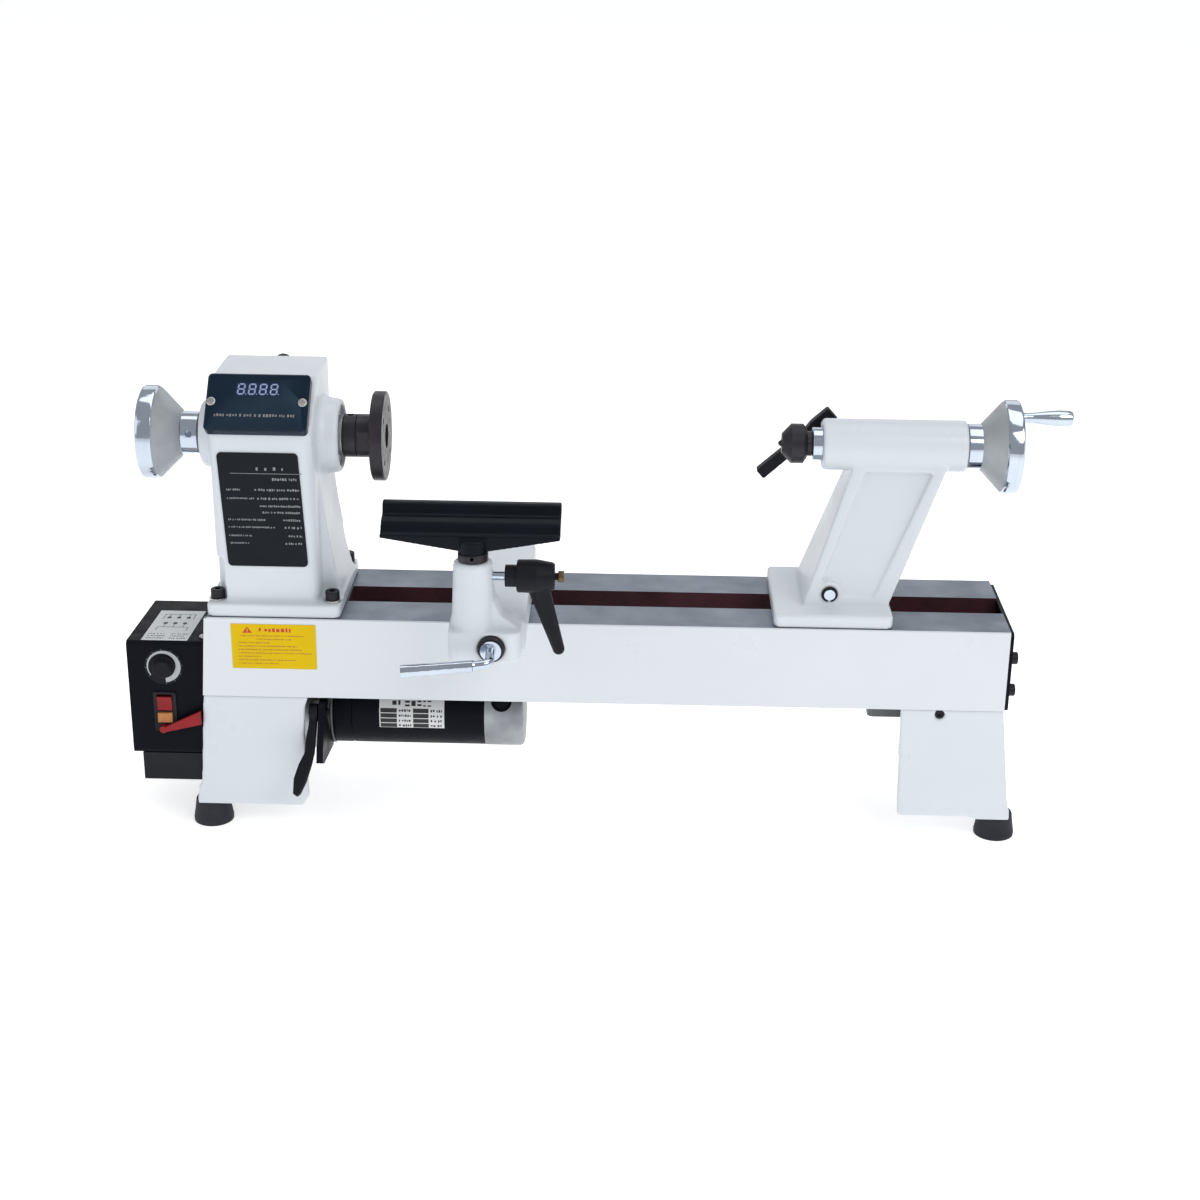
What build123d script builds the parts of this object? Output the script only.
from build123d import *
import math
import os

# Bench wood lathe, all sizes in millimetres.
# Design frame: X along the bed towards the tailstock, Y away from the operator, Z up from the floor.
# The spindle axis lies at Y = 0. The whole assembly is centred on its bounding box at the end.

# ---- driving dimensions -------------------------------------------------------------------------
BED_END = 358.5                 # half the bed's length
BED_SIDE = 65.5                 # half the bed's width
BED_LOW = 132.0
BED_TOP = 208.5
BED_WALL = 8.0
WAY_THICK = 12.0
SLOT_SIDE = 19.0                # half the gap between the ways
SLOT_WALL_LOW = 168.0
AXIS_Z = 360.4                  # spindle and quill axis above the floor
FOOT_HEIGHT = 22.3
LEG_FRONT = 65.5
LEG_WALL = 8.0
FLANGE_THICK = 4.3              # the thin edge of the walls past the bed's left end
FOOT_SIDE = 63.0                # half the width of the headstock's and tailstock's own feet
FEET = [(-366.0, -50.0), (-366.0, 50.0), (362.0, -46.0), (362.0, 46.0)]

HEAD_LEFT = -350.0
HEAD_RIGHT = -258.0
HEAD_FRONT = -57.0
HEAD_REAR = 54.0
HEAD_TOP = 420.0
HEAD_WALL = 8.0
FLANGE_TOP = 221.0
SLOPE_TOP = (-21.0, 420.0)      # (Y, Z) where the sloped front panel leaves the flat top
SLOPE_LOW = (-59.0, 379.0)
FRONT_BOSS_END = -240.0
REAR_BOSS_END = -365.0
FRONT_BEARING = (-257.0, -244.0)
REAR_BEARING = (-362.0, -350.0)
HEAD_BOLTS = [(-350.0, -50.0), (-247.0, -50.0), (-350.0, 50.0), (-247.0, 50.0)]

DOOR_KNOB = (-303.0, 407.5)     # (X, Z) of the belt door's knob

FIT = 0.04                      # radial running clearance
GAP = 0.4                       # clearance between faces of different moving bodies

SHAFT_REAR_R = 12.5
SHAFT_FRONT_R = 15.0
NOSE_R = 12.7
FACEPLATE_R = 40.0
FACEPLATE_BACK = -212.0
FACEPLATE_FRONT = -200.7
FACEPLATE_BOLT_R = 27.5
FACEPLATE_HOLE_R = 2.75
WHEEL_R = 42.0

PULLEY_X = -332.0                # where both stepped pulleys begin
SPINDLE_STEPS = [20.0, 27.0, 34.0]
MOTOR_STEPS = [34.0, 27.0, 20.0]
STEP_WIDTH = 16.0
BELT_STEP = 1                   # the belt runs on the middle pair of steps
BELT_WIDTH = 10.0
BELT_THICK = 3.0

MOTOR_Y = 0.0
MOTOR_Z = 99.0
MOTOR_R = 37.0
MOTOR_X = (-256.0, -113.0)
MOTOR_CAP_END = -77.0
RING_END = -253.5
BRUSH_X = -97.4
BRUSH_ANGLE = 29.0              # the brush caps' direction above the level
SWING_Y = 47.0                  # the motor bracket's pivot
SWING_Z = 112.0
TENSION_HUB = (-56.0, 113.0)
TENSION_TIP = (-112.0, 55.0)

BOX_LEFT = -434.0
BOX_FRONT = -61.0
BOX_REAR = 60.0
BOX_LOW = 71.0
BOX_TOP_FRONT = 182.0
BOX_TOP_REAR = 175.0
LOWER_LOW = 43.0
GLAND_X = -400.0
GLAND_Z = 57.0
KNOB_X = -401.0
KNOB_Z = 158.0
FLAG_PIVOT = (-403.5, 98.5)
SWITCH_X = (-409.0, -395.0)     # the well that holds the rocker and the key
ROCKER_AXIS = (-59.0, 122.6)    # (Y, Z)

BANJO_LEFT = -134.0
BANJO_RIGHT = -70.0
BANJO_TOP = 240.0
BANJO_REAR = 63.0
BANJO_FRONT = -135.0
CAM_X = -97.0
CAM_Z = 222.0
SOCKET_X = -113.0
SOCKET_Y = -137.0
SOCKET_R = 17.5
SOCKET_TOP = 294.5
POST_R = 8.0
POST_LOW = 234.0
LOCK_X = -115.0                 # where the lock lever's own lengths are counted from
LOCK_Z = 281.0
COLLAR_HEIGHT = 7.5
REST_HALF = 76.0
REST_MIDDLE = -115.3
REST_TOP = (-115.0, 337.5)

TAIL_LEFT = 148.0
TAIL_RIGHT = 254.0
BARREL = (188.0, 316.0)
BARREL_R = 23.0
QUILL_R = 14.7
QUILL_X = (179.0, 298.0)
TAIL_CAM_X = 198.0
TAIL_CAM_Z = 233.0
SCREW_R = 5.0
LOCK_HUB = (193.5, 371.0)       # (X, Z) of the quill lock lever's axis
LOCK_TIP = (136.0, 319.0)
CRANK_Z = AXIS_Z + 27.3

PLATE_LOW = 157.0
PLATE_TOP = 167.5
BOLT_R = 6.0
EYE_R = 11.0
EYE_HOLE_R = 8.5
CAM_OFFSET = 2.0


# ---- small builders -----------------------------------------------------------------------------
def block(x, y, z):
    """A box between two values on each axis."""
    size = Box(x[1] - x[0], y[1] - y[0], z[1] - z[0])
    return Pos((x[0] + x[1]) / 2, (y[0] + y[1]) / 2, (z[0] + z[1]) / 2) * size


def rounded_block(x, y, z, radius, axis=Axis.Z):
    solid = block(x, y, z)
    return fillet(solid.edges().filter_by(axis), radius)


def rod(start, end, radius):
    """A cylinder between two points."""
    a = Vector(*start)
    b = Vector(*end)
    along = b - a
    frame = Plane(origin=a + along * 0.5, z_dir=along)
    return frame.location * Cylinder(radius, along.length)


def cone_rod(start, end, start_r, end_r):
    a = Vector(*start)
    b = Vector(*end)
    along = b - a
    frame = Plane(origin=a + along * 0.5, z_dir=along)
    return frame.location * Cone(start_r, end_r, along.length)


def turned(profile, origin, direction):
    """A closed outline of (height, radius) pairs turned about a line through origin."""
    points = [(radius, 0, height) for height, radius in profile]
    face = make_face(Polyline(*points, close=True))
    solid = revolve(face, Axis.Z)
    return Plane(origin=origin, z_dir=direction).location * solid


def turned_x(profile, y=0.0, z=AXIS_Z):
    """A closed outline of (x, radius) pairs turned about a line along X."""
    return turned(profile, (0, y, z), (1, 0, 0))


def sheet_x(outline, x):
    """A flat (Y, Z) outline made thick between two X values."""
    face = make_face(Polyline(*[(x[0], y, z) for y, z in outline], close=True))
    return extrude(face, amount=x[1] - x[0], dir=(1, 0, 0))


def sheet_y(outline, y):
    """A flat (X, Z) outline made thick between two Y values."""
    face = make_face(Polyline(*[(x, y[0], z) for x, z in outline], close=True))
    return extrude(face, amount=y[1] - y[0], dir=(0, 1, 0))


def bent_rod(points, corner_r, radius):
    """A round bar along straight runs joined by arcs."""
    path = FilletPolyline(*points, radius=corner_r)
    start = Plane(origin=points[0], z_dir=Vector(*points[1]) - Vector(*points[0]))
    return sweep(start * Circle(radius), path=path)


def group(solids):
    return Compound([solid for shape in solids for solid in shape.solids()])


def socket_screw(x, y, z, shank_r, head_r, head_high, shank_long):
    """A cap screw standing on z with a hexagon socket in its head."""
    head = Pos(x, y, z + head_high / 2) * Cylinder(head_r, head_high)
    head = chamfer(head.edges().group_by(Axis.Z)[-1], 0.6)
    shank = Pos(x, y, z - shank_long / 2) * Cylinder(shank_r, shank_long)
    key = Pos(x, y, z + head_high * 0.45) * extrude(RegularPolygon(head_r * 0.5, 6), head_high)
    return head + shank - key


# ---- bed, legs and feet -------------------------------------------------------------------------
END_SCREWS = [(-57, 150), (57, 150), (-57, 181), (57, 181)]
TIES_X = [-52.0, 112.0, 282.0]
STOP_POST_R = 10.0
EAR_SCREW = (301.0, 127.2)      # (X, Z) of the right leg's cross screws


def bed():
    body = block((-BED_END, BED_END), (-BED_SIDE, BED_SIDE), (BED_LOW, BED_TOP))
    body = chamfer(body.edges().filter_by(Axis.X).group_by(Axis.Z)[-1], 1.0)
    room = block((-BED_END + BED_WALL, BED_END - BED_WALL), (-BED_SIDE + BED_WALL, BED_SIDE - BED_WALL),
                 (BED_LOW - 5, BED_TOP - WAY_THICK))
    body -= room
    for side in (-1, 1):
        edges = sorted((side * SLOT_SIDE, side * (SLOT_SIDE + 6)))
        body += block((-BED_END + 1, BED_END - 1), edges, (SLOT_WALL_LOW, BED_TOP - 1))
    body -= block((-238.0, BED_END + 5), (-SLOT_SIDE, SLOT_SIDE), (SLOT_WALL_LOW, BED_TOP + 5))
    body -= block((-340.0, -262.0), (-46, 46), (SLOT_WALL_LOW - 5, BED_TOP + 5))
    for x in TIES_X:
        half = 18 if x == TIES_X[-1] else 6
        body += block((x - half, x + half), (-BED_SIDE + 1, BED_SIDE - 1), (BED_LOW, BED_LOW + 9))
    body -= Pos(TIES_X[-1], 0, BED_LOW) * Cylinder(STOP_POST_R, 60)
    for y in ((-BED_SIDE, -BED_SIDE + FLANGE_THICK), (BED_SIDE - FLANGE_THICK, BED_SIDE)):
        body += sheet_y([(-BED_END + 4, BED_TOP - 1), (-361.0, BED_TOP - 1), (-366.0, BED_LOW),
                         (-BED_END + 4, BED_LOW)], y)
    for x, y in HEAD_BOLTS:
        body -= Pos(x, y, BED_TOP) * Cylinder(4.0, 40)
    return body


def end_plate():
    plate = rounded_block((BED_END, BED_END + 3.5), (-63.5, 63.5), (BED_LOW - 1, BED_TOP - 2), 4, Axis.X)
    for y, z in END_SCREWS:
        plate -= rod((BED_END - 1, y, z), (BED_END + 5, y, z), 2.05)
    return plate


def end_stop():
    """The flat plate under the bed's right end, on its post."""
    plate = rounded_block((241, 300), (-25, 25), (106, 117), 5)
    return plate + rod((TIES_X[-1], 0, 116), (TIES_X[-1], 0, 155), STOP_POST_R)


def leg(side, outer, inner, rear_inner, end_wall):
    """A U-shaped casting: two walls along X and an end wall, with pads for the feet.

    Each edge is a list of (X, Z) points from the bed down.
    """
    body = sheet_y(outer + inner[::-1], (-LEG_FRONT, -LEG_FRONT + LEG_WALL))
    body += sheet_y(outer + rear_inner[::-1], (LEG_FRONT - LEG_WALL, LEG_FRONT))
    body += sheet_y(end_wall, (-LEG_FRONT + 1, LEG_FRONT - 1))
    for x, y in FEET:
        if x * side > 0:
            pad_x = sorted((side * (BED_END - 14), outer[-1][0]))
            body += block(pad_x, (y - 15, y + 15), (FOOT_HEIGHT, FOOT_HEIGHT + 8))
            body -= Pos(x, y, FOOT_HEIGHT) * Cylinder(3.0, 30)
    for y in (-LEG_FRONT + 5.5, LEG_FRONT - 5.5):
        ear_x = sorted((side * 290, side * 315))
        body += block(ear_x, (y - 5.5, y + 5.5), (BED_LOW - 16, BED_LOW))
    return body


def left_leg():
    outer = [(-366.0, BED_LOW), (-372.1, 45), (-375.3, 40), (-376.9, FOOT_HEIGHT)]
    inner = [(-270.5, BED_LOW), (-274, 122), (-275.4, 95), (-274, 50), (-273.7, 32), (-279.4, FOOT_HEIGHT)]
    end_wall = [(-BED_END, BED_LOW), (-BED_END, FOOT_HEIGHT), (-BED_END + 7, FOOT_HEIGHT), (-BED_END + 7, BED_LOW)]
    body = leg(-1, outer, inner, inner, end_wall)
    inside = LEG_FRONT - FLANGE_THICK
    body -= block((-400, -BED_END), (-inside, inside), (FOOT_HEIGHT + 8, BED_LOW + 5))
    groove = [(-344.4, 131), (-345.6, 131), (-350.6, 40.7), (-349.4, 40.7)]
    mark = block((-368.5, -362.5), (-LEG_FRONT - 1, -LEG_FRONT + 0.8), (41, 43))
    lug = block((-292, -275.5), (SWING_Y - 4, LEG_FRONT - 4), (SWING_Z - 12, SWING_Z + 12))
    pin = rod((-285, SWING_Y, SWING_Z), (MOTOR_X[0] + 2, SWING_Y, SWING_Z), 4)
    return body - sheet_y(groove, (-LEG_FRONT - 1, -LEG_FRONT + 0.6)) - mark + lug + pin


def right_leg():
    outer = [(BED_END, BED_LOW), (BED_END, BED_LOW - 1.5), (368.6, 42.6), (372.5, FOOT_HEIGHT)]
    inner = [(266.1, BED_LOW), (266.1, 124), (267.7, 65), (269.2, FOOT_HEIGHT)]
    rear_inner = [(284.0, BED_LOW), (284.0, FOOT_HEIGHT)]
    end_wall = outer + [(x - 7, z) for x, z in outer[::-1]]
    body = leg(1, outer, inner, rear_inner, end_wall)
    notch = [(260, FOOT_HEIGHT - 1), (260, FOOT_HEIGHT + 2.3), (332, FOOT_HEIGHT + 2.3), (345, FOOT_HEIGHT - 1)]
    body -= sheet_y(notch, (-LEG_FRONT - 1, LEG_FRONT + 1))
    body -= block((358, 364), (-LEG_FRONT - 1, -LEG_FRONT + 0.8), (41.4, 43.4))
    x, z = EAR_SCREW
    for y in (-LEG_FRONT, LEG_FRONT):
        body -= rod((x, y - 5, z), (x, y + 5, z), 4.7)
    return body


def leg_bolts():
    """Cross screws through the right leg's ears, and the cap screws of the end plate."""
    bolts = []
    x, z = EAR_SCREW
    for side in (-1, 1):
        head = rod((x, side * (LEG_FRONT - 4.5), z), (x, side * (LEG_FRONT - 1.5), z), 4.2)
        socket = rod((x, side * (LEG_FRONT - 3), z), (x, side * (LEG_FRONT + 2), z), 2.2)
        bolts.append(head - socket)
    for y, z in END_SCREWS:
        face = Plane(origin=(BED_END + 3.5, y, z), z_dir=(1, 0, 0))
        bolts.append(face.location * socket_screw(0, 0, 0, 1.95, 5.6, 5.5, 3))
    return group(bolts)


def rubber_feet():
    outline = [(0, 0), (0, 18.2), (3.5, 18.4), (9, 17.4), (FOOT_HEIGHT - 1.5, 15.6), (FOOT_HEIGHT, 15.0),
               (FOOT_HEIGHT, 3.0), (FOOT_HEIGHT + 12, 3.0), (FOOT_HEIGHT + 12, 0)]
    feet = []
    for x, y in FEET:
        feet.append(turned(outline, (x, y, 0), (0, 0, 1)))
    return group(feet)


# ---- headstock ----------------------------------------------------------------------------------
def headstock():
    flange = rounded_block((-BED_END, -238.7), (-FOOT_SIDE, FOOT_SIDE), (BED_TOP, FLANGE_TOP), 5)
    side = [(HEAD_FRONT + 2, FLANGE_TOP - 2), SLOPE_LOW, SLOPE_TOP, (48, HEAD_TOP), (HEAD_REAR, HEAD_TOP - 6),
            (HEAD_REAR, FLANGE_TOP - 2)]
    tower = sheet_x(side, (HEAD_LEFT, HEAD_RIGHT))
    upright = tower.edges().filter_by(lambda e: abs((e @ 1 - e @ 0).Z) > 120)
    tower = fillet(upright, 10)
    flare = sheet_y([(HEAD_RIGHT - 3, 345), (HEAD_RIGHT, 335), (-253, 290), (-246, 245), (-240, FLANGE_TOP - 1),
                     (HEAD_RIGHT - 3, FLANGE_TOP - 1)], (-34, 46))
    body = flange + tower + flare
    front_boss = [(HEAD_RIGHT - 4, 0), (HEAD_RIGHT - 4, 38), (HEAD_RIGHT, 37), (-252, 34), (-243, 33),
                  (FRONT_BOSS_END, 31), (FRONT_BOSS_END, 0)]
    rear_boss = [(HEAD_LEFT + 4, 0), (HEAD_LEFT + 4, 33), (HEAD_LEFT - 3, 32), (REAR_BOSS_END + 3, 30),
                 (REAR_BOSS_END, 28), (REAR_BOSS_END, 0)]
    body += turned_x(front_boss)
    body += turned_x(rear_boss)
    room = block((HEAD_LEFT + HEAD_WALL, HEAD_RIGHT - HEAD_WALL), (-48, HEAD_REAR - HEAD_WALL),
                 (BED_TOP - 1, HEAD_TOP - 10))
    room -= sheet_x([(-60, 360), (-48, 360), (-8, HEAD_TOP), (-60, HEAD_TOP)], (HEAD_LEFT, HEAD_RIGHT))
    body -= room
    body -= block((-336, -272), (HEAD_REAR - 12, HEAD_REAR + 1), (262, 398))
    body -= turned_x([(-380, 0), (-380, 23.5), (REAR_BEARING[1], 23.5), (REAR_BEARING[1], 18), (-300, 18),
                      (-300, 22), (FRONT_BEARING[0], 22), (FRONT_BEARING[0], 27.5), (-230, 27.5), (-230, 0)])
    body += block((-318, -290), (HEAD_REAR - 1, HEAD_REAR + 6), (249, 255))
    body += rod((-333, HEAD_REAR + 6, 252), (-275, HEAD_REAR + 6, 252), 2.0)
    for x, y in HEAD_BOLTS:
        body -= Pos(x, y, FLANGE_TOP + 20) * Cylinder(9.2, 40)
        body -= Pos(x, y, BED_TOP) * Cylinder(4.2, 40)
    return body


def headstock_bolts():
    return group(socket_screw(x, y, FLANGE_TOP + 1.6, 3.9, 6.4, 8.0, 24) for x, y in HEAD_BOLTS)


def headstock_washers():
    washers = []
    for x, y in HEAD_BOLTS:
        ring = Pos(x, y, FLANGE_TOP + 0.8) * (Cylinder(8.0, 1.6) - Cylinder(4.1, 2))
        washers.append(ring)
    return group(washers)


SLOPE_ANGLE = math.degrees(math.atan2(SLOPE_TOP[1] - SLOPE_LOW[1], SLOPE_TOP[0] - SLOPE_LOW[0]))
CASE_THICK = 10.0
CASE_LONG = 55.0
CASE_WIDE = 89.5
CASE_X = -306.3
CASE_DOWN = 2.0                 # how far the case hangs below the slope's middle
CASE_SCREW = 39.7
WINDOW_WIDE = 40.0
WINDOW_HIGH = 14.0


def slope_plane():
    """The sloped panel's own plane: x along the lathe, y up the slope, z out of it."""
    middle = Vector(CASE_X, (SLOPE_TOP[0] + SLOPE_LOW[0]) / 2 - 0.5, (SLOPE_TOP[1] + SLOPE_LOW[1]) / 2 - 0.5)
    up = math.radians(SLOPE_ANGLE)
    middle -= Vector(0, math.cos(up), math.sin(up)) * CASE_DOWN
    return Plane(origin=middle, x_dir=(1, 0, 0), z_dir=(0, -math.sin(up), math.cos(up)))


def display_case():
    case = Box(CASE_WIDE, CASE_LONG, CASE_THICK)
    case = fillet(case.edges().filter_by(Axis.Z), 4)
    case = chamfer(case.edges().group_by(Axis.Z)[-1], 1.5)
    case = Pos(0, 0, CASE_THICK / 2 + 0.05) * case
    case -= Pos(0, 12, CASE_THICK - 1) * Box(WINDOW_WIDE, WINDOW_HIGH, 4)
    for x in (-CASE_SCREW, CASE_SCREW):
        case -= Pos(x, -1, CASE_THICK / 2) * Cylinder(2.05, 30)
    return slope_plane().location * case


def display_window():
    pane = Pos(0, 12, CASE_THICK - 1.5) * Box(WINDOW_WIDE - 0.2, WINDOW_HIGH - 0.2, 2.6)
    return slope_plane().location * pane


def button_screw(frame):
    """A button-head screw on a plane, head outwards."""
    head = Pos(0, 0, 1.1) * Cylinder(4.1, 2.2)
    head = fillet(head.edges().group_by(Axis.Z)[-1], 1.2)
    socket = Pos(0, 0, 2.2) * Cylinder(1.4, 2.4)
    shank = Pos(0, 0, -1.4) * Cylinder(1.95, 2.9)
    return frame.location * (head + shank - socket)


def panel_screws():
    slope = slope_plane()
    screws = []
    for x in (-CASE_SCREW, CASE_SCREW):
        frame = Plane(slope.location * Pos(x, -1, CASE_THICK + 0.05))
        screws.append(button_screw(frame))
    screws.append(button_screw(Plane(origin=(-366, -48, 181.7), z_dir=(0, 0, 1))))
    return group(screws)


def spec_plate():
    """A thin plate lying against the headstock's front wall, its long edges a little askew."""
    low = 255.0
    high = 361.0
    half_wide = 35.5
    half_high = (high - low) / 2
    skew = 2.5
    wall_low = (HEAD_FRONT + 2, FLANGE_TOP - 2)
    wall_lean = (SLOPE_LOW[0] - wall_low[0]) / (SLOPE_LOW[1] - wall_low[1])
    corners = [(skew - half_wide, -half_high), (skew + half_wide, -half_high), (half_wide - skew, half_high),
               (-half_wide - skew, half_high)]
    plate = fillet(sheet_y(corners, (-0.5, 0.5)).edges().filter_by(Axis.Y), 4)
    middle = (high + low) / 2
    front = wall_low[0] + wall_lean * (middle - wall_low[1])
    return Pos(-304.5, front - 0.55, middle) * Rot(-math.degrees(math.atan(wall_lean)), 0, 0) * plate


def decals():
    """The caution label on the bed, the wiring label on the control box and the speed dial."""
    caution = block((-337, -261), (-BED_SIDE - 0.4, -BED_SIDE), (160, 203))
    rise = (BOX_TOP_REAR - BOX_TOP_FRONT) / (BOX_REAR - BOX_FRONT)
    wiring = Pos(-400, -16, BOX_TOP_FRONT + rise * (-16 - BOX_FRONT) + 0.25)
    wiring = wiring * Rot(math.degrees(math.atan(rise)), 0, 0) * Box(42, 84, 0.4)
    dial = rod((KNOB_X, BOX_FRONT - 0.5, KNOB_Z), (KNOB_X, BOX_FRONT, KNOB_Z), 17.5)
    dial -= rod((KNOB_X, BOX_FRONT - 2, KNOB_Z), (KNOB_X, BOX_FRONT + 2, KNOB_Z), 3.5)
    return group([caution, wiring, dial])


def bearing(x, inner, outer):
    """Two rings joined by a recessed shield on each side, as one sealed bearing."""
    middle = (inner + outer) / 2
    outline = [(x[0], inner), (x[0], middle - 3), (x[0] + 0.8, middle - 3), (x[0] + 0.8, middle + 3),
               (x[0], middle + 3), (x[0], outer), (x[1], outer), (x[1], middle + 3), (x[1] - 0.8, middle + 3),
               (x[1] - 0.8, middle - 3), (x[1], middle - 3), (x[1], inner)]
    return turned_x(outline)


def spindle_bearings():
    front = bearing(FRONT_BEARING, SHAFT_FRONT_R + FIT, 27.5)
    rear = bearing(REAR_BEARING, SHAFT_REAR_R + FIT, 23.5)
    return group([front, rear])


def belt_door():
    """The rear belt cover, with the two knuckles it turns on."""
    door = rounded_block((-341, -267), (HEAD_REAR + GAP, HEAD_REAR + 5), (256, 415), 4, Axis.Y)
    door += block((-334, -274), (HEAD_REAR + 4, HEAD_REAR + 7), (270, 382))
    for x in (-332, -288):
        knuckle = rod((x, HEAD_REAR + 6, 252), (x + 12, HEAD_REAR + 6, 252), 4)
        web = block((x, x + 12), (HEAD_REAR + 3, HEAD_REAR + 7), (252, 262))
        door += knuckle + web
        door -= rod((x - 1, HEAD_REAR + 6, 252), (x + 13, HEAD_REAR + 6, 252), 2.0 + FIT)
    x, z = DOOR_KNOB
    door -= rod((x, HEAD_REAR - 2, z), (x, HEAD_REAR + 10, z), 3.05)
    return door


def door_knob():
    outline = [(0.1, 0), (0.1, 3.0), (5.6, 3.0), (5.6, 6), (8, 7), (12, 8.5), (17, 8.5), (18.5, 7), (18.5, 0)]
    return turned(outline, (DOOR_KNOB[0], HEAD_REAR, DOOR_KNOB[1]), (0, 1, 0))


# ---- spindle ------------------------------------------------------------------------------------
def spindle_shaft():
    outline = [(-417, 5), (-417, 10), (-366.5, 10), (-366.5, SHAFT_REAR_R), (-349, SHAFT_REAR_R), (-349, 13.5),
               (-262, 13.5), (-262, SHAFT_FRONT_R), (-243.6, SHAFT_FRONT_R), (-243.6, 18), (-239, 18),
               (-239, NOSE_R), (-213.5, NOSE_R), (-213.5, 8.9), (-272, 7.2), (-272, 5)]
    return turned_x(outline)


def stepped_pulley(x0, steps, bore, y=0.0, z=AXIS_Z):
    """Steps with a lip at each end, so the flat belt stays on its step."""
    outline = [(x0, bore), (x0, steps[0] + 3)]
    x = x0 + 2
    for i, radius in enumerate(steps):
        before = steps[i - 1] if i else radius
        outline += [(x, max(before, radius) + 3), (x, radius), (x + STEP_WIDTH, radius)]
        x += STEP_WIDTH + 2
        last = steps[i + 1] if i + 1 < len(steps) else radius
        outline += [(x - 2, max(radius, last) + 3)]
    outline += [(x, steps[-1] + 3), (x, bore)]
    clean = []
    for point in outline:
        if not clean or point != clean[-1]:
            clean.append(point)
    return turned_x(clean, y, z)


def spindle_pulley():
    return stepped_pulley(PULLEY_X, SPINDLE_STEPS, 13.5)


def faceplate():
    outline = [(-238.5, NOSE_R + 0.05), (-238.5, 18.8), (-237.8, 19.3), (-227, 19.3), (-226.6, 18.6),
               (-226.2, 19.3), (FACEPLATE_BACK - 3, 19.3), (FACEPLATE_BACK, 22), (FACEPLATE_BACK, 39),
               (FACEPLATE_BACK + 1, FACEPLATE_R), (FACEPLATE_FRONT - 1, FACEPLATE_R), (FACEPLATE_FRONT, 39),
               (FACEPLATE_FRONT, 11), (-213, 11), (-213, NOSE_R + 0.05)]
    plate = turned_x(outline)
    for side in (-1, 1):
        flat_y = sorted((side * 17.6, side * 24))
        plate -= block((-225.5, FACEPLATE_BACK - 3), flat_y, (AXIS_Z - 24, AXIS_Z + 24))
    for k in range(4):
        angle = math.radians(45 + 90 * k)
        y = FACEPLATE_BOLT_R * math.cos(angle)
        z = AXIS_Z + FACEPLATE_BOLT_R * math.sin(angle)
        plate -= rod((FACEPLATE_BACK - 4, y, z), (FACEPLATE_FRONT + 4, y, z), FACEPLATE_HOLE_R)
    plate -= rod((-232.5, 0, AXIS_Z + 14), (-232.5, 0, AXIS_Z + 30), 3)
    return plate


def handwheel(face, rim_wide, cone_wide, hub_r, hub_wide, bore, direction):
    """A turned handwheel: rounded rim, cone and hub. face is the outer face's place along X."""
    d = direction
    outline = [(0.5, bore), (2.5, 12), (4.5, 14), (4.5, 31), (1.5, 35), (0, 37), (0, 40), (1.2, 41.5),
               (2.8, WHEEL_R), (rim_wide - 3, WHEEL_R), (rim_wide - 1, 41.3), (rim_wide, 40),
               (rim_wide + cone_wide, hub_r + 1), (rim_wide + cone_wide + 0.5, hub_r),
               (rim_wide + cone_wide + hub_wide - 0.6, hub_r), (rim_wide + cone_wide + hub_wide, hub_r - 0.6),
               (rim_wide + cone_wide + hub_wide, bore)]
    return turned([(h, r) for h, r in outline], (face, 0, AXIS_Z), (d, 0, 0))


def spindle_handwheel():
    wheel = handwheel(-418, 15, 20, 19, 15.5, 10.03, 1)
    wheel -= rod((-375, -10, AXIS_Z + 4), (-375, -30, AXIS_Z + 4), 3)
    return wheel


# ---- motor and drive ----------------------------------------------------------------------------
def motor_can():
    return turned_x([(RING_END, 8.6), (RING_END, MOTOR_R - 1), (RING_END + 1, MOTOR_R), (-237.5, MOTOR_R),
                     (-237, MOTOR_R - 0.7), (-236, MOTOR_R - 0.7), (-235.5, MOTOR_R), (MOTOR_X[1], MOTOR_R),
                     (MOTOR_X[1], 8.6)], MOTOR_Y, MOTOR_Z)


def motor_front_ring():
    return turned_x([(MOTOR_X[0], 8.6), (MOTOR_X[0], MOTOR_R), (MOTOR_X[0] + 0.6, MOTOR_R + 1),
                     (RING_END - 0.6, MOTOR_R + 1), (RING_END, MOTOR_R), (RING_END, 8.6)], MOTOR_Y, MOTOR_Z)


def motor_rear_cap():
    cap = turned_x([(MOTOR_X[1], 8.6), (MOTOR_X[1], MOTOR_R + 0.4), (MOTOR_CAP_END - 4, MOTOR_R + 0.4),
                    (MOTOR_CAP_END - 1, MOTOR_R - 1), (MOTOR_CAP_END, MOTOR_R - 3), (MOTOR_CAP_END, 0),
                    (MOTOR_CAP_END - 6, 0), (MOTOR_CAP_END - 6, 8.6)], MOTOR_Y, MOTOR_Z)
    for side in (-1, 1):
        angle = math.radians(BRUSH_ANGLE)

        def out(reach):
            return (BRUSH_X, MOTOR_Y + side * reach * math.cos(angle), MOTOR_Z + reach * math.sin(angle))

        pocket = rod(out(MOTOR_R - 5), out(MOTOR_R + 5), 9.5)
        brush = rod(out(MOTOR_R - 6), out(MOTOR_R - 2.5), 6.5)
        cap = cap - pocket + brush
    return cap


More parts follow.
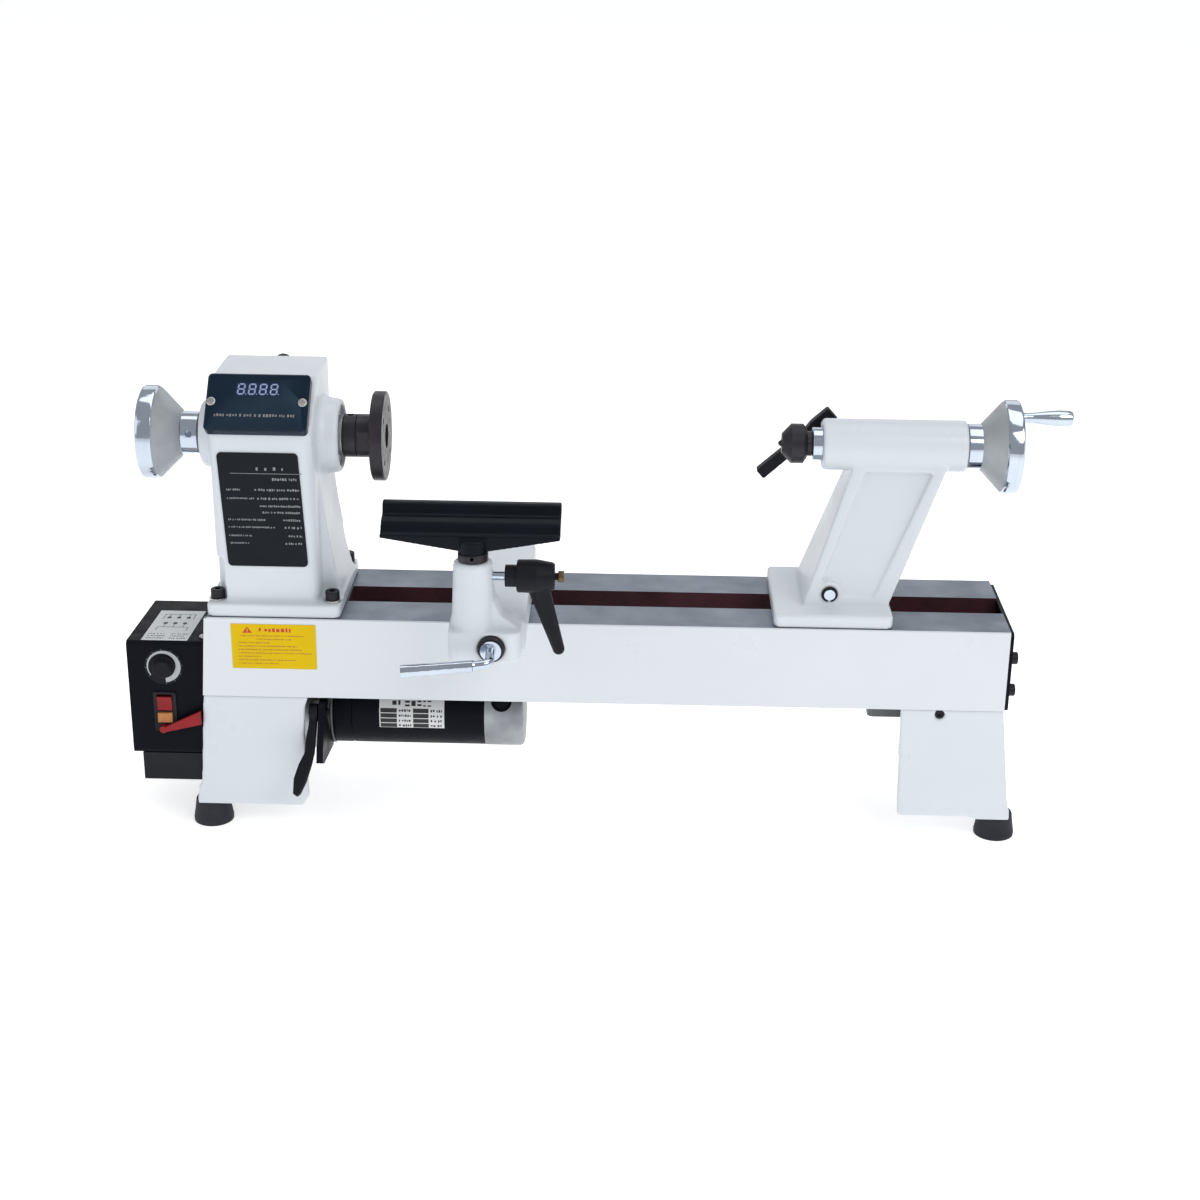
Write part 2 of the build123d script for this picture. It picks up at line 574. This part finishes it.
def motor_bracket():
    """The swinging plate that carries the motor, its rear pivot and its front clamping arm."""
    x = (-262.0, MOTOR_X[0])
    disc = rod((x[0] - 2, MOTOR_Y, MOTOR_Z), (x[1], MOTOR_Y, MOTOR_Z), MOTOR_R + 1)
    front = sheet_x([(-20, 124), (-60, 124), (-66, 112), (-82, 88), (-86, 76), (-78, 72), (-20, 64)], x)
    rear = sheet_x([(15, 128), (SWING_Y + 6, 120), (SWING_Y + 7, 108), (15, 80)], x)
    plate = disc + front + rear
    plate += rod((x[0] - 8, SWING_Y, SWING_Z), (x[1], SWING_Y, SWING_Z), 8)
    plate -= rod((x[0] - 10, SWING_Y, SWING_Z), (x[1] + 2, SWING_Y, SWING_Z), 4 + FIT)
    plate -= rod((x[0] - 4, MOTOR_Y, MOTOR_Z), (x[1] + 2, MOTOR_Y, MOTOR_Z), 14)
    hub_y, hub_z = TENSION_HUB
    plate -= rod((x[0] - 2, hub_y, hub_z), (x[1] + 2, hub_y, hub_z), 4 + FIT)
    return plate


def motor_label():
    """A thin curved plate wrapped round the front of the can."""
    x = (-210, -150)
    ring = turned_x([(x[0], MOTOR_R + 0.05), (x[0], MOTOR_R + 0.4), (x[1], MOTOR_R + 0.4),
                     (x[1], MOTOR_R + 0.05)], MOTOR_Y, MOTOR_Z)
    window = block((x[0] - 1, x[1] + 1), (-60, -MOTOR_R * 0.75), (MOTOR_Z - 8.5, MOTOR_Z + 24.5))
    return ring & window


def motor_shaft():
    return turned_x([(-340, 0), (-340, 6), (-262, 6), (-262, 8.5), (-86, 8.5), (-86, 0)], MOTOR_Y, MOTOR_Z)


def motor_pulley():
    return stepped_pulley(PULLEY_X, MOTOR_STEPS, 6.0, MOTOR_Y, MOTOR_Z)


def drive_belt():
    """A flat ribbed belt in the plane of its step: two arcs joined by two tangent strands."""
    middle = PULLEY_X + 2 + BELT_STEP * (STEP_WIDTH + 2) + STEP_WIDTH / 2
    small = MOTOR_STEPS[BELT_STEP] + GAP
    large = SPINDLE_STEPS[BELT_STEP] + GAP

    def loop(grow):
        low = Pos(0, MOTOR_Z) * Circle(small + grow)
        high = Pos(0, AXIS_Z) * Circle(large + grow)
        return make_hull(low.edges() + high.edges())

    ring = loop(BELT_THICK) - loop(0)
    frame = Plane(origin=(middle - BELT_WIDTH / 2, 0, 0), x_dir=(0, 1, 0), z_dir=(1, 0, 0))
    return extrude(frame * ring, BELT_WIDTH)


def tension_lever():
    """The motor's clamping lever: a hub, a leaf-shaped blade bent clear of the leg, and its stud."""
    hub_y, hub_z = TENSION_HUB
    run = Vector(0, TENSION_TIP[0] - hub_y, TENSION_TIP[1] - hub_z)
    along = run.normalized()
    hub = rod((-271.0, hub_y, hub_z), (-263.2, hub_y, hub_z), 8.5)
    right = [(0, -263.4), (38, -263.4), (50, -265), (66, -268.5), (78, -273)]
    left = [(80.6, -276), (78, -280), (64, -280.5), (50, -277), (40, -272.8), (24, -272.4), (14, -271), (0, -271)]
    frame = Plane(origin=(0, hub_y, hub_z), x_dir=along, z_dir=(0, along.Z, -along.Y))
    outline = make_face(Polyline(*[(reach, x) for reach, x in right + left], close=True))
    blade = Pos(0, 0, -3) * extrude(outline, 6)
    blade = chamfer(blade.edges().group_by(Axis.Z)[0] + blade.edges().group_by(Axis.Z)[-1], 1.2)
    stud = rod((-264.0, hub_y, hub_z), (MOTOR_X[0] + 3, hub_y, hub_z), 4)
    return hub + frame.location * blade + stud


# ---- control box --------------------------------------------------------------------------------
def control_box():
    outer = sheet_x([(BOX_FRONT, BOX_LOW), (BOX_FRONT, BOX_TOP_FRONT), (BOX_REAR, BOX_TOP_REAR),
                     (BOX_REAR, BOX_LOW)], (BOX_LEFT, -359.0))
    outer = fillet(outer.edges().filter_by(Axis.X), 4)
    inner = sheet_x([(BOX_FRONT + 2.5, BOX_LOW - 1), (BOX_FRONT + 2.5, BOX_TOP_FRONT - 5),
                     (BOX_REAR - 2.5, BOX_TOP_REAR - 5), (BOX_REAR - 2.5, BOX_LOW - 1)],
                    (BOX_LEFT + 2.5, -361.5))
    body = outer - inner
    body -= block((SWITCH_X[0] - 2.2, SWITCH_X[1] + 2.2), (BOX_FRONT - 1, BOX_FRONT + 4), (102, 132.3))
    body -= rod((KNOB_X, BOX_FRONT - 2, KNOB_Z), (KNOB_X, BOX_FRONT + 4, KNOB_Z), 3.5)
    body -= Pos(-366, -48, 180) * Cylinder(2.0, 12)
    return body


def lower_cover():
    outer = block((-426, -360.5), (-60, 58), (LOWER_LOW, BOX_LOW))
    outer = fillet(outer.edges().filter_by(Axis.X).group_by(Axis.Z)[0], 3)
    inner = block((-423.5, -363), (-57.5, 55.5), (LOWER_LOW + 2.5, BOX_LOW + 1))
    return outer - inner - rod((GLAND_X, 50, GLAND_Z), (GLAND_X, 60, GLAND_Z), 8.05)


def control_board():
    board = block((-412, -410.4), (-38, 50), (80, 165))
    for y, z, tall in ((-30, 120, 14), (0, 140, 20), (30, 110, 12)):
        board += rod((-411, y, z), (-411 + tall, y, z), 7)
    return board


def cable_gland():
    outline = [(-3, 5), (-3, 8), (0, 8), (0, 11), (6, 11), (6, 9), (12, 8), (14, 6.5), (14, 5)]
    return turned(outline, (GLAND_X, 58, GLAND_Z), (0, 1, 0))


def switch_body():
    """The bezel and the well behind it, with sockets for the rocker's pin."""
    left, right = SWITCH_X
    px, pz = FLAG_PIVOT
    bezel = block((left - 3.3, right + 3.3), (BOX_FRONT - 1.6, BOX_FRONT), (pz - 4, 133))
    bezel = fillet(bezel.edges().filter_by(Axis.Y), 2)
    inside = block((left - 2, right + 2), (BOX_FRONT - 1, BOX_FRONT + 16), (102.3, 132))
    body = bezel + inside
    body -= block((left, right), (BOX_FRONT - 3, BOX_FRONT + 12), (114.6, 130.6))
    body -= block((left, right), (BOX_FRONT - 3, BOX_FRONT + 12), (103.8, 113.6))
    body -= rod((left - 1.4, *ROCKER_AXIS), (right + 1.4, *ROCKER_AXIS), 1.5 + FIT)
    return body - rod((px, BOX_FRONT - 2, pz), (px, BOX_FRONT + 1, pz), 1.2 + FIT)


def switch_rocker():
    """A rocker on a pin along X, its outer face dished."""
    front = BOX_FRONT
    outline = [(front + 4, 117.6), (front - 3.2, 115.8), (front - 2.4, 122.6), (front - 4.4, 129.2),
               (front + 4, 127.8)]
    rocker = sheet_x(outline, (SWITCH_X[0] + GAP, SWITCH_X[1] - GAP))
    return rocker + rod((SWITCH_X[0] - 1.2, *ROCKER_AXIS), (SWITCH_X[1] + 1.2, *ROCKER_AXIS), 1.5)


def safety_key():
    low = 104.1
    high = 113.3
    return block((SWITCH_X[0] + GAP, SWITCH_X[1] - GAP), (BOX_FRONT - 4.5, BOX_FRONT + 6), (low, high))


def stop_flag():
    """The red tongue that swings on a pin under the switch."""
    px, pz = FLAG_PIVOT
    front = BOX_FRONT - 8.5
    hub = rod((px, front, pz), (px, BOX_FRONT - GAP - 1.6, pz), 3.2)
    blade = sheet_y([(px - 1, pz - 3), (px + 35, pz + 6), (px + 35, pz + 19), (px + 3, pz + 3)],
                    (front, front + 3))
    pin = rod((px, BOX_FRONT - 2.2, pz), (px, BOX_FRONT - 0.2, pz), 1.2)
    return hub + blade + pin


def speed_knob():
    outline = [(0.9, 0), (0.9, 10.5), (2.3, 10.5), (3.0, 9.0), (9.2, 8.2), (10.0, 7.4), (10.0, 0)]
    knob = turned(outline, (KNOB_X, BOX_FRONT, KNOB_Z), (0, -1, 0))
    knob += rod((KNOB_X, BOX_FRONT - 1, KNOB_Z), (KNOB_X, BOX_FRONT + 12, KNOB_Z), 3.0)
    for k in range(12):
        angle = math.radians(30 * k + 15)
        x = KNOB_X + 9.4 * math.cos(angle)
        z = KNOB_Z + 9.4 * math.sin(angle)
        knob -= rod((x, BOX_FRONT - 3.6, z), (x, BOX_FRONT - 20, z), 1.45)
    return knob


# ---- tool rest and banjo ------------------------------------------------------------------------
def eye_bolt(x, low, eye_z):
    """A clamp bolt with a ring at its top, for the cam shaft, and a nut below the plate."""
    ring = rod((x, -5.5, eye_z), (x, 5.5, eye_z), EYE_R)
    shank = rod((x, 0, low), (x, 0, eye_z), BOLT_R)
    body = ring + shank
    return body - rod((x, -8, eye_z), (x, 8, eye_z), EYE_HOLE_R)


def clamp_nut(x, z):
    hexagon = Pos(x, 0, z) * extrude(RegularPolygon(10.5, 6), 8.5)
    return hexagon - Pos(x, 0, z) * Cylinder(BOLT_R + FIT, 40)


def clamp_plate(x):
    plate = rounded_block((x - 25, x + 25), (-44, 44), (PLATE_LOW, PLATE_TOP), 6)
    return plate - Pos(x, 0, PLATE_LOW) * Cylinder(BOLT_R + FIT, 60)


def rest_clamp():
    return clamp_plate(CAM_X)


def rest_eye_bolt():
    return eye_bolt(CAM_X, PLATE_LOW - 9, CAM_Z) + clamp_nut(CAM_X, PLATE_LOW - 9)


def banjo():
    foot = block((BANJO_LEFT, BANJO_RIGHT), (BANJO_FRONT, BANJO_REAR), (BED_TOP, BANJO_TOP))
    foot = fillet(foot.edges().filter_by(Axis.Z), 9)
    foot = fillet(foot.edges().group_by(Axis.Z)[-1], 3)
    nose = block((SOCKET_X - 21.5, CAM_X + 24.5), (-157, -115), (BED_TOP, BANJO_TOP - 4))
    nose = fillet(nose.edges().filter_by(Axis.Z), 11)
    column = cone_rod((SOCKET_X, SOCKET_Y, BED_TOP), (SOCKET_X, SOCKET_Y, SOCKET_TOP - 2), 20, SOCKET_R - 0.5)
    top = turned([(SOCKET_TOP - 2.5, 0), (SOCKET_TOP - 2.5, SOCKET_R - 0.4), (SOCKET_TOP - 1, SOCKET_R - 1.2),
                  (SOCKET_TOP, SOCKET_R - 3), (SOCKET_TOP, 0)], (SOCKET_X, SOCKET_Y, 0), (0, 0, 1))
    web = sheet_x([(SOCKET_Y, BANJO_TOP - 3), (SOCKET_Y, 280), (SOCKET_Y + 22, 262), (SOCKET_Y + 46, 246),
                   (SOCKET_Y + 66, BANJO_TOP - 1)], (SOCKET_X - 9, SOCKET_X + 9))
    shoulder = sheet_y([(SOCKET_X, 272), (SOCKET_X + 17, 262), (SOCKET_X + 24, 247), (BANJO_RIGHT - 6, 238),
                        (SOCKET_X, 225)], (-145, -119))
    body = foot + nose + column + top + web + shoulder
    body -= block((CAM_X - 11.5, CAM_X + 11.5), (-104, 48), (BED_TOP - 1, CAM_Z + EYE_R + 1.6))
    body -= rod((CAM_X, -180, CAM_Z), (CAM_X, -104, CAM_Z), 9.0 + FIT)
    body -= rod((CAM_X, -180, CAM_Z), (CAM_X, -152, CAM_Z), 11.5)
    body -= rod((CAM_X, 40, CAM_Z), (CAM_X, 57, CAM_Z), 6.0 + FIT)
    body -= rod((SOCKET_X, SOCKET_Y, BED_TOP - 5), (SOCKET_X, SOCKET_Y, SOCKET_TOP + 5), POST_R + FIT)
    body -= rod((SOCKET_X, SOCKET_Y, LOCK_Z), (SOCKET_X + 30, SOCKET_Y, LOCK_Z), 4.0 + FIT)
    return body


def cam_bush():
    """The black ring that the cam shaft turns in, pressed into the banjo's nose."""
    outline = [(-160.5, 9.0 + FIT), (-160.5, 10.8), (-159.8, 11.4), (-152, 11.4), (-152, 9.0 + FIT)]
    return turned([(y, r) for y, r in outline], (CAM_X, 0, CAM_Z), (0, 1, 0))


def banjo_cam_lever():
    """Shaft with an eccentric middle, and a bent handle in front."""
    front = rod((CAM_X, -163, CAM_Z), (CAM_X, -104.5, CAM_Z), 9.0)
    middle = rod((CAM_X, -104.5, CAM_Z + CAM_OFFSET), (CAM_X, 47.5, CAM_Z + CAM_OFFSET), 5.0)
    rear = rod((CAM_X, 47.5, CAM_Z), (CAM_X, 55, CAM_Z), 6.0)
    grip_start = (CAM_X - 13.6, -182, CAM_Z - 5.4)
    grip_end = (CAM_X - 73.8, -182, CAM_Z - 11.8)
    neck_end = (CAM_X - 12, -182, CAM_Z - 5.2)
    neck = bent_rod([(CAM_X, -161, CAM_Z), (CAM_X, -180, CAM_Z - 4), neck_end], 6, 4.0)
    step = cone_rod((CAM_X - 8, -181.6, CAM_Z - 4.9), grip_start, 2.6, 5.0)
    grip = cone_rod(grip_start, grip_end, 5.0, 5.6)
    return front + middle + rear + neck + step + grip


def rest_lock_lever():
    """Ratchet handle: stud, hub, screw and a tapered arm."""
    y = SOCKET_Y
    z = LOCK_Z
    stud = rod((SOCKET_X + POST_R + 0.6, y, z), (SOCKET_X + 30, y, z), 4.0)
    small = rod((LOCK_X + 29, y, z), (LOCK_X + 40, y, z), 9.5)
    hub = turned([(LOCK_X + 39, 0), (LOCK_X + 39, 13), (LOCK_X + 40, 14), (LOCK_X + 56, 14.4),
                  (LOCK_X + 69, 12.2), (LOCK_X + 71, 11), (LOCK_X + 71, 0)], (0, y, z), (1, 0, 0))
    screw = rod((LOCK_X + 70, y, z), (LOCK_X + 74, y, z), 3) + rod(
        (LOCK_X + 74, y, z), (LOCK_X + 79, y, z), 5)
    arm_top = (LOCK_X + 56, y, z - 6)
    arm_end = (LOCK_X + 74.5, y, z - 66)
    arm = cone_rod(arm_top, arm_end, 9.6, 5.2)
    tip = Pos(*arm_end) * Sphere(5.2)
    return stud + small + hub + screw + arm + tip


def rest_collar():
    ring = turned([(SOCKET_TOP + 0.3, POST_R + FIT), (SOCKET_TOP + 0.3, 12.0), (SOCKET_TOP + 1.2, 13.0),
                   (SOCKET_TOP + COLLAR_HEIGHT - 1, 13.0), (SOCKET_TOP + COLLAR_HEIGHT, 12.0),
                   (SOCKET_TOP + COLLAR_HEIGHT, POST_R + FIT)], (SOCKET_X, SOCKET_Y, 0), (0, 0, 1))
    return ring - rod((SOCKET_X, SOCKET_Y - 8, SOCKET_TOP + 5), (SOCKET_X, SOCKET_Y - 16, SOCKET_TOP + 5), 1.6)


def tool_rest():
    """Post, neck, triangular gusset and the long blade with its two grooves."""
    top_y, top_z = REST_TOP
    x = (REST_MIDDLE - REST_HALF, REST_MIDDLE + REST_HALF)
    outline = [(9, -1), (7, 0), (1, 0), (-1.5, -1.5), (-3, -8), (-5.5, -9.5), (-9, -10), (-14, -12), (-17, -14.5),
               (-22, -20), (-21, -23.5), (-14, -19), (-2, -13), (6, -9), (9, -6)]
    blade = sheet_x([(top_y + y, top_z + z) for y, z in outline], x)
    neck_z = SOCKET_TOP + COLLAR_HEIGHT + 0.3
    gusset = sheet_y([(x[0], 317.5), (x[1], 317.5), (x[1], 314), (SOCKET_X + 12, neck_z + 1),
                      (SOCKET_X - 12, neck_z + 1), (x[0], 314)], (SOCKET_Y - 4, SOCKET_Y + 6))
    neck = rod((SOCKET_X, SOCKET_Y, neck_z), (SOCKET_X, SOCKET_Y, 314), 12.2)
    post = rod((SOCKET_X, SOCKET_Y, POST_LOW), (SOCKET_X, SOCKET_Y, neck_z + 2), POST_R)
    return blade + gusset + neck + post


# ---- tailstock ----------------------------------------------------------------------------------
def tail_pillar(inset):
    """The leaning pillar between the foot and the barrel, shrunk by inset on every side."""
    low = Plane(origin=(210.0, 2, BED_TOP + 6)) * Rectangle(76 - 2 * inset, 92 - 2 * inset)
    high = Plane(origin=(258.0, 0, AXIS_Z - 12)) * Rectangle(84 - 2 * inset, 38 - 2 * inset)
    return loft([low, high])


def tailstock():
    foot = rounded_block((TAIL_LEFT, TAIL_RIGHT), (-FOOT_SIDE, FOOT_SIDE), (BED_TOP, BED_TOP + 12), 5)
    foot = fillet(foot.edges().group_by(Axis.Z)[-1], 2)
    pillar = tail_pillar(0)
    for side in (-1, 1):
        low = Plane(origin=(212.0, side * 44, BED_TOP + 22)) * Rectangle(52, 12)
        high = Plane(origin=(256.0, side * 20, AXIS_Z - 20)) * Rectangle(60, 12)
        pillar -= loft([low, high])
    barrel = turned_x([(BARREL[0], 0), (BARREL[0], BARREL_R - 1.5), (BARREL[0] + 1.5, BARREL_R),
                       (BARREL[1] - 1.5, BARREL_R), (BARREL[1], BARREL_R - 1.5), (BARREL[1], 0)])
    boss = rod((LOCK_HUB[0], 6, LOCK_HUB[1]), (LOCK_HUB[0], 27, LOCK_HUB[1]), 5.4)
    hub = rod((TAIL_CAM_X, -41.0, TAIL_CAM_Z), (TAIL_CAM_X, 47, TAIL_CAM_Z), 11)
    tongue = block((TAIL_LEFT + 2, TAIL_RIGHT - 2), (-SLOT_SIDE + 0.4, SLOT_SIDE - 0.4), (BED_TOP - 8, BED_TOP + 1))
    body = foot + pillar + barrel + boss + hub + tongue
    body -= turned_x([(BARREL[0] - 5, 0), (BARREL[0] - 5, QUILL_R + FIT), (305, QUILL_R + FIT), (305, 18),
                      (BARREL[1] + 5, 18), (BARREL[1] + 5, 0)])
    body -= block((TAIL_CAM_X - 14, TAIL_CAM_X + 14), (-16, 16), (BED_TOP - 12, TAIL_CAM_Z + EYE_R + 2))
    body -= rod((TAIL_CAM_X, -46, TAIL_CAM_Z), (TAIL_CAM_X, 0, TAIL_CAM_Z), 5.0 + FIT)
    body -= rod((TAIL_CAM_X, 0, TAIL_CAM_Z), (TAIL_CAM_X, 60, TAIL_CAM_Z), 8.0 + FIT)
    body -= rod((LOCK_HUB[0], 8, LOCK_HUB[1]), (LOCK_HUB[0], 40, LOCK_HUB[1]), 4.0 + FIT)
    return body


def quill():
    outline = [(QUILL_X[0], 8.95), (QUILL_X[0], QUILL_R - 0.8), (QUILL_X[0] + 0.8, QUILL_R),
               (QUILL_X[1], QUILL_R), (QUILL_X[1], SCREW_R + FIT), (262, SCREW_R + FIT), (262, 7.8), (225, 7.8)]
    return turned_x(outline)


def live_centre_shank():
    outline = [(158, 0), (158, 5.9), (174.6, 5.9), (174.6, 11), (178.6, 11), (178.6, 8.9), (224, 7.6), (224, 0)]
    return turned_x(outline)


def live_centre():
    outline = [(149, 0), (149, 1.2), (152, 3.6), (152, 9), (160.2, 17.7), (171, 17.7), (174.2, 13),
               (174.2, 5.9 + FIT), (157.5, 5.9 + FIT), (157.5, 0)]
    return turned_x(outline)


def leadscrew():
    outline = [(236, 0), (236, SCREW_R), (305.4, SCREW_R), (305.4, 12), (309.4, 12), (309.4, 7), (345, 7),
               (345, 0)]
    return turned_x(outline)


def thrust_collar():
    return turned_x([(309.8, 7.0 + FIT), (309.8, 17.95), (315.8, 17.95), (315.8, 7.0 + FIT)])


def tail_handwheel():
    wheel = handwheel(361.5, 14.5, 18, 20, 12.5, 7.02, -1)
    wheel -= rod((352, 0, CRANK_Z), (365, 0, CRANK_Z), 3.0 + FIT)
    return wheel


def crank_handle():
    """The waisted grip that spins on its own pin in the handwheel."""
    outline = [(356, 0), (356, 3.0), (362, 3.0), (362, 5.2), (366, 4.6), (373, 4.8), (386, 6.6), (396, 7.4),
               (403, 7.2), (407, 6.4), (408, 5.2), (408, 0)]
    return turned_x(outline, 0.0, CRANK_Z)


def quill_lock_lever():
    """Stud, square-shouldered hub and a straight arm behind the barrel."""
    hx, hz = LOCK_HUB
    tx, tz = LOCK_TIP
    stud = rod((hx, 13.5, hz), (hx, 36, hz), 4.0)
    angle = math.atan2(tz - hz, tx - hx)
    across = (-math.sin(angle), math.cos(angle))
    ends = []
    for share, side in ((-0.12, 7.4), (0.14, 7.4), (0.3, 4.8), (1, 5.2), (1, -5.2), (0.3, -4.8), (0.14, -7.4),
                        (-0.12, -7.4)):
        ends.append((hx + (tx - hx) * share + across[0] * side, hz + (tz - hz) * share + across[1] * side))
    arm = sheet_y(ends, (35, 46))
    return stud + chamfer(arm.edges().filter_by(Axis.Y), 1.0)


def tail_cam_lever():
    """Shaft with an eccentric middle through the foot, and a bent handle behind."""
    front = rod((TAIL_CAM_X, -44.5, TAIL_CAM_Z), (TAIL_CAM_X, -15.5, TAIL_CAM_Z), 5.0)
    middle = rod((TAIL_CAM_X, -15.5, TAIL_CAM_Z + CAM_OFFSET), (TAIL_CAM_X, 15.5, TAIL_CAM_Z + CAM_OFFSET), 5.5)
    rear = rod((TAIL_CAM_X, 15.5, TAIL_CAM_Z), (TAIL_CAM_X, 64, TAIL_CAM_Z), 8.0)
    neck = bent_rod([(TAIL_CAM_X, 62, TAIL_CAM_Z), (TAIL_CAM_X, 80, TAIL_CAM_Z),
                     (TAIL_CAM_X + 12, 84, TAIL_CAM_Z + 26)], 8, 4.3)
    grip = rod((TAIL_CAM_X + 11, 83.7, TAIL_CAM_Z + 24), (TAIL_CAM_X + 34, 83.7, TAIL_CAM_Z + 74), 6.1)
    return front + middle + rear + neck + grip


def retaining_clip():
    """The open spring clip on the cam shaft's front end."""
    y = -42.4
    ring = rod((TAIL_CAM_X, y - 0.5, TAIL_CAM_Z), (TAIL_CAM_X, y + 0.5, TAIL_CAM_Z), 7.4)
    ring -= rod((TAIL_CAM_X, y - 2, TAIL_CAM_Z), (TAIL_CAM_X, y + 2, TAIL_CAM_Z), 5.1)
    return ring - block((TAIL_CAM_X - 1.5, TAIL_CAM_X + 1.5), (y - 2, y + 2), (TAIL_CAM_Z - 9, TAIL_CAM_Z))


def tail_clamp():
    """The plate under the ways with its eye bolt and nut."""
    plate = clamp_plate(TAIL_CAM_X)
    bolt = eye_bolt(TAIL_CAM_X, PLATE_LOW - 9, TAIL_CAM_Z)
    nut = clamp_nut(TAIL_CAM_X, PLATE_LOW - 8.6)
    return group([plate, bolt, nut])


# ---- assembly -----------------------------------------------------------------------------------
BUILDERS = [
    bed, left_leg, right_leg, leg_bolts, end_plate, end_stop, rubber_feet, headstock, headstock_bolts,
    headstock_washers, display_case, display_window, panel_screws, spec_plate, decals, spindle_bearings,
    drive_belt, belt_door, door_knob, control_box, lower_cover, control_board, cable_gland,
    switch_body, switch_rocker, safety_key, stop_flag, speed_knob, spindle_shaft, spindle_pulley, faceplate,
    spindle_handwheel, motor_can, motor_front_ring, motor_rear_cap, motor_bracket, motor_label, motor_shaft,
    motor_pulley, tension_lever, rest_clamp, rest_eye_bolt, banjo, banjo_cam_lever, cam_bush,
    rest_lock_lever, rest_collar, tool_rest, tailstock, quill, live_centre_shank, live_centre, leadscrew,
    tail_handwheel, crank_handle, thrust_collar, quill_lock_lever, tail_cam_lever, tail_clamp, retaining_clip,
]

parts = {}
for build in BUILDERS:
    parts[build.__name__] = build()

low = Vector(1e9, 1e9, 1e9)
high = Vector(-1e9, -1e9, -1e9)
for shape in parts.values():
    size = shape.bounding_box()
    low = Vector(min(low.X, size.min.X), min(low.Y, size.min.Y), min(low.Z, size.min.Z))
    high = Vector(max(high.X, size.max.X), max(high.Y, size.max.Y), max(high.Z, size.max.Z))
SHIFT = (-(low.X + high.X) / 2, -(low.Y + high.Y) / 2, -low.Z)
print("shift", SHIFT, "size", high - low)

os.makedirs("parts", exist_ok=True)
for name, shape in parts.items():
    export_step(Pos(*SHIFT) * shape, os.path.join("parts", name + ".step"))
